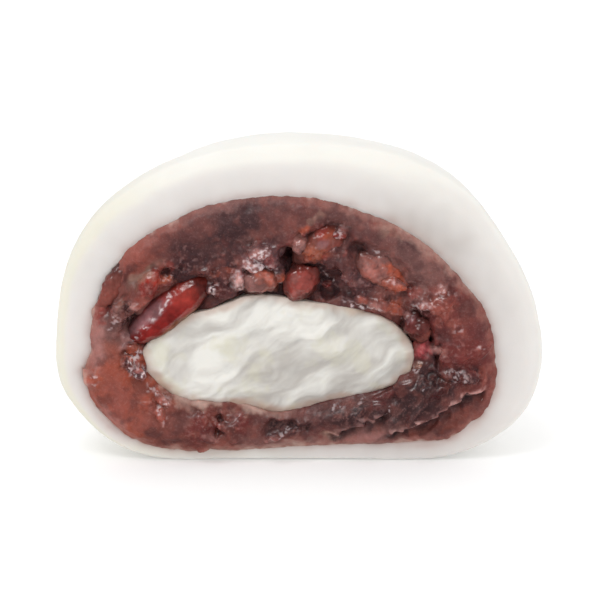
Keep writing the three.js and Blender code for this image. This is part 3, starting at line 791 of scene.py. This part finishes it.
        (10.4, 17.8, 2.4, 0.9, -25, "salmon", 0.35), (15.2, 3.7, 3.5, 0.6, 10, "rust", 0.3),
        (18.8, 5.6, 2.1, 0.8, 38, "rust", 0.25), (-17, 6.1, 2.3, 1.2, -20, "brick", 0.5),
        (14.4, 8.8, 4.4, 2.6, 22, "plum", 0.95), (6.5, 6.1, 4.4, 1.4, 12, "plum", 0.95),
        (-6.4, 4.9, 2.4, 1.4, 0, "maroon", 0.6), (-0.6, 4.4, 3, 0.9, 0, "dark", 0.6),
        (6.5, 25.4, 1.2, 1.2, 0, "dark", 0.6), (-12.8, 22.5, 3.2, 1.3, 15, "dark", 0.35),
        (-9.6, 26.6, 1.8, 1.2, 30, "dark", 0.3), (-5.6, 26.4, 1.6, 1, 20, "dusty", 0.5),
        (5.2, 21.1, 3.4, 1.7, -12, "dark", 0.25), (6.8, 21.2, 2.4, 1.3, -12, "lilac", 0.2),
        (3.6, 20.2, 1.7, 1, -12, "dark", 0.55), (-19.4, 17.8, 1.1, 1.6, 12, "dark", 0.7),
        (15.2, 13.2, 0.5, 2.6, 12, "dark", 0.7), (-17.3, 13.8, 0.8, 0.9, 0, "maroon", 0.8),
        (-18.9, 15.6, 2.2, 0.7, 55, "lilac", 0.6), (-23.5, 14.8, 1.2, 3.8, 0, "pink", 0.8),
        (-19.9, 14.5, 1.3, 0.6, 50, "pink", 0.8), (-21.2, 5.4, 2.6, 0.8, -48, "pink", 0.55),
        (-23.8, 10.6, 1.1, 1.3, 0, "pink", 0.9), (-4.6, 24.4, 2.3, 1.8, 0, "lilac", 0.5),
        (-6, 22.6, 1.4, 1.1, 20, "lilac", 0.65), (-19.2, 22.6, 0.4, 1.6, -25, "maroon", 0.7),
        (-15.2, 3.2, 2.6, 0.8, -10, "plum", 0.5), (-10.8, 5.3, 1.5, 1.5, 0, "maroon", 0.7),
        (-12.6, 6.9, 1.3, 0.7, -15, "smear", 0.35), (-9.2, 4.6, 0.7, 1.7, -15, "plum", 0.8),
    ],
    # the smeared paste's tone round about: x, z, tone
    "zones": [
        (-12, 28, "mauve"), (-7, 28, "plum"), (0, 29.5, "mauve"), (6, 29.5, "mauve"), (14, 23.5, "dusty"),
        (-19, 24, "brick"), (-22, 16, "dusty"), (-21, 8, "brick"), (-14, 4, "brown"), (0, 3, "mauve"),
        (10, 3.6, "dusty"), (18, 5, "mauve"), (20.6, 12, "wine"), (18, 18, "wine"), (13, 8, "maroon"),
        (-12, 24, "plum"), (0, 22, "plum"), (-18, 10, "rust"),
    ],
}


def pasteMaterial():
    material, tree, shader = newMaterial("beanPaste", IOR=1.46, Specular_IOR_Level=0.35)
    subsurface(shader, 0.25, (1.0, 0.35, 0.25), 0.7)
    shader.inputs["Coat Roughness"].default_value = 0.19
    painted = readAttribute(tree, "pasteColour", "Color")
    wet = readAttribute(tree, "wet")
    shade = spread(tree, noiseNode(tree, 0.45, 5, 0.7), 0.79, 1.17)
    share = spread(tree, wet, 0.75, 1.0, 0.2, 0.6)
    colour = mixColour(tree, share, painted, shade, "MULTIPLY")
    grains = spread(tree, noiseNode(tree, 0.2, 2), 0.0, 0.12, 0.55, 0.75)
    colour = mixColour(tree, grains, colour, linear(tones["rosy"]))
    tree.links.new(colour, shader.inputs["Base Color"])
    tree.links.new(spread(tree, wet, 0.5, 0.2, 0, 1), shader.inputs["Roughness"])
    tree.links.new(spread(tree, wet, 0.0, 0.6, 0.1, 1), shader.inputs["Coat Weight"])
    small = addBump(tree, shader, noiseNode(tree, 0.28, 4, 0.65), 0.08, 0.4)
    addBump(tree, shader, noiseNode(tree, 0.9, 3, 0.6), 0.2, 0.4, small)
    return material


def chunkyAt(points):
    share = np.zeros(len(points))
    for oval in pasteShape["chunky"]:
        share = np.maximum(share, np.exp(-(ovalAt(points, *oval) ** 3)))
    return share


def gapsAt(points):
    depth = np.zeros(len(points))
    for *oval, deep in pasteShape["gaps"]:
        depth = np.maximum(depth, deep * (1 - smoothStep(0.55, 1.25, ovalAt(points, *oval))))
    return depth


# For each ledge: how far above its jagged lip the points lie, how much of it there is, and its two heights.
def ledgesAt(points):
    x, z = points[:, 0] / mm, points[:, 2] / mm
    uneven = noiseAt(points, 3, 41)
    for line, proud, hollow in pasteShape["ledges"]:
        ends = smoothStep(line[0][0], line[0][0] + 1.2, x) * smoothStep(line[-1][0], line[-1][0] - 0.8, x)
        turns = x / 2.1 + 0.9 * uneven
        scale = 0.75 + 0.25 * np.sin(2.4 * np.floor(turns))
        yield z - np.interp(x, *zip(*line)) + 1.0 * (turns % 1 - 0.5) * scale, ends, proud * scale, hollow


# How torn it is, and its ridges, which are drawn out along the tear.
def tornAt(points):
    share = np.zeros(len(points))
    for oval in pasteShape["torn"]:
        share = np.maximum(share, np.exp(-(ovalAt(points, *oval) ** 4)))
    along, across = alongAcross(points[:, 0], points[:, 2], pasteShape["tearLean"])
    drawn = np.stack([along / pasteShape["tearLength"], points[:, 1], across], 1)
    return share, 1 - 2 * np.abs(noiseAt(drawn, 1.5, 43, 2))


# Raises and sinks the paste's cut face: broad waves, pebbly chunks, gaps, and a furrow round each lump.
def reliefPaste(paste):
    shape = pasteShape
    spots = places(paste)
    near = 1 - smoothStep(1, 4, (spots[:, 1] - cutY) / mm)
    chosen = np.flatnonzero(near > 0)
    flat = spots[chosen] * np.array([1, 0, 1])
    bent = wobbled(flat, 1.4, 0.7, 3)
    chunky = chunkyAt(bent)
    domes, _ = pebblesAt(flat, 2.2, 5)
    smallDomes, _ = pebblesAt(flat, 1.0, 6)
    rise = shape["wave"] * noiseAt(flat, 7, 4, 2)
    rise += shape["ripple"] * noiseAt(flat, 2.2, 6, 2) * (1 - chunky)
    rise += chunky * (shape["pebble"] * (domes - 0.6) + shape["smallPebble"] * (smallDomes - 0.6))
    torn, ridges = tornAt(flat)
    rise += torn * shape["ridge"] * ridges
    rise -= gapsAt(bent)
    for *oval, height in shape["swells"]:
        rise += height * np.exp(-(ovalAt(flat, *oval) ** 2))
    for *oval, proud, _ in shape["lumps"]:
        away = ovalAt(bent, *oval)
        rise -= shape["furrow"] * min(1, proud) * np.exp(-(((away - 1.2) / 0.3) ** 2))
    for index, oval in beanShape["places"].items():
        away = ovalAt(flat if index == longBean else bent, *oval)
        deep = shape["longBeanFurrow" if index == longBean else "beanFurrow"]
        rise -= deep * (np.exp(-(((away - 1.1) / 0.2) ** 2)) + 1 - smoothStep(0.9, 1.1, away))
    for above, ends, proud, hollow in ledgesAt(flat):
        rise += ends * proud * smoothStep(-0.15, 0.15, above) * np.exp(-((above / 1.7) ** 2))
        rise -= ends * hollow * (1 - smoothStep(-0.15, 0.12, above)) * smoothStep(-2.2, -0.5, above)
    edgy = flat + (bent - flat) * 0.4
    border = insideBy(edgy, "bean_paste") + 0.1
    rise += 0.4 * lowLeftAt(flat, 12, 8, 3, -5) * np.exp(-((insideBy(flat, "cream_filling") + 0.3) ** 2))
    rise *= smoothStep(-0.3, 1.2, border)
    rise -= 0.42 * (1 - smoothStep(-0.4, 0.8, border))
    spots[chosen, 1] -= rise * near[chosen] * mm
    movePlaces(paste, spots)


# Uneven lumps, every other one with a broken side, which are copied for all lumps and crumbs.
def makeLumpMasters():
    masters = []
    for index in range(pasteShape["lumpKinds"]):
        bpy.ops.object.select_all(action="DESELECT")
        bpy.ops.mesh.primitive_ico_sphere_add(subdivisions=4, radius=1)
        master = bpy.context.object
        spots = places(master)
        bumps = [noise.fractal(Vector(s) * 1.1 + Vector((index * 9, 0, 0)), 0.7, 2.0, 3) for s in spots]
        movePlaces(master, spots * (1 + pasteShape["lumpBumps"] * np.array(bumps))[:, None])
        if index % 2:
            onlySelect(master)
            bpy.ops.object.mode_set(mode="EDIT")
            bpy.ops.mesh.select_all(action="SELECT")
            bpy.ops.mesh.bisect(
                plane_co=(0, 0, 0.45), plane_no=(0.3, 0.2, 1), use_fill=True, clear_outer=True
            )
            bpy.ops.object.mode_set(mode="OBJECT")
        masters.append(master)
    return masters


def makePaste():
    # It swells to its neighbours, and fills the nests behind the beans.
    paste = nodeCopy("bean_paste", "beanPaste")
    spots, out = places(paste), outwards(paste)
    outer = smoothStep(1, 3, -insideBy(spots, "cream_filling"))
    distance = pasteShape["growInside"] + (pasteShape["grow"] - pasteShape["growInside"]) * outer
    movePlaces(paste, spots + out * np.array([1, 0.3, 1]) * (distance * mm)[:, None])
    fills = []
    for index in range(1, 8):
        fill = nodeCopy(f"azuki_bean_{index}", "fill")
        grow(fill, pasteShape["fillGrow"])
        movePlaces(fill, places(fill) + np.array([0, pasteShape["fillBack"] * mm, 0]))
        fills.append(fill)
    onlySelect(paste, *fills)
    bpy.ops.object.join()
    voxelRemesh(paste, pasteShape["coarse"], 2)
    reliefPaste(paste)
    addLumps(paste)
    voxelRemesh(paste, pasteShape["fine"], 2)
    spots = places(paste)
    spare = around(spots, pasteShape["lap"], pasteShape["spare"])
    over = smoothStep(0, 0.3, -insideBy(spots, "bean_paste") - spare)
    spots[:, 1] += over * np.maximum(0, cutY + 0.25 * mm - spots[:, 1])
    movePlaces(paste, spots)
    thinHidden(paste, spots)

    spots, out = places(paste), outwards(paste)
    front = 1 - smoothStep(0.5 * mm, 3 * mm, spots[:, 1] - cutY)
    bent = wobbled(spots * np.array([1, 0, 1]), 1.4, 0.7, 3)
    chunky = chunkyAt(bent)
    grain = noiseAt(spots, 0.8, 3.0, 3) * (0.05 + 0.08 * chunky)
    movePlaces(paste, spots + out * (grain * mm * front)[:, None])
    colourPaste(paste, spots, bent, chunky, front)
    return paste


# The placed lumps, and then crumbs thrown where the paste is chunky, joined to the paste.
def addLumps(paste):
    surface = surfaceOf(paste)
    draw = random.Random(pasteShape["seed"])
    masters = makeLumpMasters()
    placed = []

    def addLump(x, z, long, wide, lean, proud):
        hit = surface.ray_cast(Vector((x * mm, cutY - 20 * mm, z * mm)), Vector((0, 1, 0)))[0]
        if hit is None or hit.y > cutY + pasteShape["deepest"] * mm:
            return False
        thick = pasteShape["lumpThick"] * wide
        axis = Vector((draw.gauss(0, 1), draw.gauss(0, 1), draw.gauss(0, 1))).normalized()
        matrix = Matrix.Translation((x * mm, hit.y - proud * mm + thick * mm, z * mm))
        matrix = matrix @ Matrix.Rotation(-math.radians(lean), 4, "Y")
        matrix = matrix @ Matrix.Diagonal((long * mm, thick * mm, wide * mm, 1))
        matrix = matrix @ Matrix.Rotation(draw.uniform(0, 6.28), 4, axis)
        mesh = draw.choice(masters).data.copy()
        mesh.transform(matrix)
        piece = bpy.data.objects.new("lump", mesh)
        bpy.context.scene.collection.objects.link(piece)
        placed.append(piece)
        return True

    for *lump, _ in pasteShape["lumps"]:
        addLump(*lump)
    made = 0
    rangeX, rangeZ = pasteShape["crumbArea"]
    smallest, larger = pasteShape["crumbSize"]
    while made < pasteShape["crumbs"]:
        x, z = draw.uniform(*rangeX), draw.uniform(*rangeZ)
        size = smallest + larger * draw.random() ** 2
        spot = np.array([[x * mm, 0, z * mm]])
        nearBean = min(ovalAt(spot, *oval)[0] for oval in beanShape["places"].values()) < 1.25
        if nearBean or gapsAt(spot)[0] > 0.8 or draw.random() > chunkyAt(spot)[0]:
            continue
        wide = size * draw.uniform(0.5, 1)
        if addLump(x, z, size, wide, draw.uniform(0, 180), draw.uniform(0.0, 0.35)):
            made += 1
    onlySelect(paste, *placed)
    bpy.ops.object.join()
    for master in masters:
        bpy.data.objects.remove(master)


# The back and the outer wall are hidden in the skin and need few faces.
def thinHidden(paste, spots):
    behind = (spots[:, 1] - cutY) / mm
    outer = insideBy(spots, "bean_paste") < 0.6
    paste.data.vertices.foreach_set("select", (behind > 3.6) | (behind > 1.6) & outer)
    onlySelect(paste)
    bpy.ops.object.mode_set(mode="EDIT")
    bpy.ops.mesh.select_mode(type="VERT")
    bpy.ops.mesh.decimate(ratio=pasteShape["hiddenFaces"])
    bpy.ops.object.mode_set(mode="OBJECT")


# The smeared paste's tone: zones that run into each other, and patches over them.
def smearColour(bent):
    weights = np.zeros(len(bent))
    colour = np.zeros((len(bent), 3))
    for x, z, tone in pasteShape["zones"]:
        weight = 1 / (((bent[:, 0] / mm - x) ** 2 + (bent[:, 2] / mm - z) ** 2) + 4) ** 2
        colour += weight[:, None] * np.array(linear(tones[tone]))
        weights += weight
    colour /= weights[:, None]
    for *oval, tone, strength in pasteShape["patches"]:
        colour = blend(colour, tone, strength * (1 - smoothStep(0.5, 1.3, ovalAt(bent, *oval))))
    return colour


# Where the paste meets the dough and the cream: whitish smears, and painted light that lifts the shade
# along the seams.
def smearAndLightEdges(colour, spots, bent, border, mottle):
    # Painted light just inside the outline, over the shaded seam with the dough.
    colour = blend(colour, "salmon", 0.35 * (1 - smoothStep(0.0, 0.8, border)))
    colour = blend(colour, "smear", 0.5 * (1 - smoothStep(-0.65, -0.15, border)))
    soft = np.clip(around(spots, 0.1, pasteShape["soft"]), 0, 1)
    colour = blend(colour, "smear", 0.5 * soft * (1 - smoothStep(-0.5, 1.1, border + 0.6 * mottle)))
    # Near the cream at the lower left: partly a real smear and partly painted light over the shaded seam.
    inside = insideBy(bent, "cream_filling")
    low = lowLeftAt(spots, 12, 8, 1, -6)
    colour = blend(colour, "tan", 0.4 * low * smoothStep(-1.2, -0.2, inside + 0.4 * mottle))
    return blend(colour, "smear", 0.6 * low * smoothStep(-1.0, 0.3, inside + 0.5 * mottle))


def colourPaste(paste, spots, bent, chunky, front):
    colour = smearColour(bent)
    _, marks = pebblesAt(spots * np.array([1, 0, 1]), 1.0, 6)
    for low, high, tone in pasteShape["bits"]:
        colour = blend(colour, tone, ((marks >= low) & (marks < high)) * (0.04 + 0.34 * chunky))
    torn, ridges = tornAt(spots)
    # Painted shade in the valleys between the torn ridges, and painted highlights as pink streaks on finer
    # ridges.
    colour = blend(colour, "dark", 0.6 * torn * smoothStep(0.35, -0.2, ridges))
    streaks = tornAt(spots * 2.2)[1]
    colour = blend(colour, "pink", 0.35 * torn * smoothStep(0.68, 0.95, streaks))
    wet = 0.15 + 0.7 * np.maximum(chunky, 0.08 * torn)
    mottle = noiseAt(spots, 0.9, 14, 3)
    for *oval, proud, tone in pasteShape["lumps"]:
        share = 1 - smoothStep(0.5, 1.3, ovalAt(bent, *oval))
        colour = blend(colour, tone, np.clip(0.75 + 0.8 * mottle, 0, 1) * share)
        wet = np.maximum(wet, min(0.85, 0.3 + proud) * share)
    blotch = noiseAt(spots, 2.4, 17, 3)
    colour = blend(colour, "plum", 0.4 * smoothStep(0.0, 0.5, blotch))
    colour = blend(colour, "salmon", 0.25 * smoothStep(0.1, 0.6, -blotch))
    # Painted shadow in the hollow under each torn ledge, and painted light on its lip.
    for above, ends, proud, _ in ledgesAt(spots):
        shadowUnder = (1 - smoothStep(-0.2, 0.0, above)) * smoothStep(-1.7, -0.4, above)
        litLip = smoothStep(-0.2, 0.0, above) * (1 - smoothStep(0.3, 0.7, above))
        litLip *= np.clip(0.7 + 1.2 * mottle, 0, 1)
        colour = blend(colour, "dark", 0.75 * ends * shadowUnder)
        colour = blend(colour, "rosy", 0.95 * proud * ends * litLip)
    glintSpecks = noiseAt(spots, 0.45, 61, 2)
    # Painted glints on the lumps, broken up into specks.
    for *oval, strength in pasteShape["paintedGlints"]:
        share = 1 - smoothStep(0.5, 1.3, ovalAt(bent, *oval))
        colour = blend(colour, "paintedGlint", strength * share * smoothStep(0.1 - 0.25 * strength, 0.3, glintSpecks))
    # Painted glints: small pale specks where it is wet.
    colour = blend(colour, "rosy", 0.25 * wet * (1 - torn) * smoothStep(0.25, 0.5, glintSpecks))
    border = insideBy(bent, "bean_paste")
    colour = smearAndLightEdges(colour, spots, bent, border, mottle)
    # Painted shade darkens the dips, and painted light brightens the crests and the deep gaps; it is also
    # darker where it is torn.
    height = -spots[:, 1] / mm
    relief = height - neighbourMean(paste, height, 40)
    dipShade = smoothStep(0.0, 0.5, -relief) * front
    crestLight = smoothStep(0.05, 0.5, relief) * front
    gapLight = smoothStep(0.5, 2.0, gapsAt(bent)) * (1 - smoothStep(1.5, 4, (spots[:, 1] - cutY) / mm))
    shade = (1 - 0.3 * dipShade) * (1 + 0.12 * crestLight) * (1 + 0.1 * gapLight) * (1 - 0.24 * torn)
    paintColour(paste, "pasteColour", colour * shade[:, None])
    paintValue(paste, "wet", wet * smoothStep(0, 1.5, border))


makeCamera()
makeStudio()
skin = makeSkin()
paste = makePaste()
paintSkin(skin, paste)
finishPiece(skin, mochiMaterial(), "mochi", "mochi_skin")
finishPiece(paste, pasteMaterial(), "bean_paste", "bean_paste")
finishPiece(makeCream(), creamMaterial(), "whipped_cream", "cream_filling")
beanLook = beanMaterial()
for index in range(1, 8):
    finishPiece(makeBean(index), beanLook, "azuki_bean", f"azuki_bean_{index}")
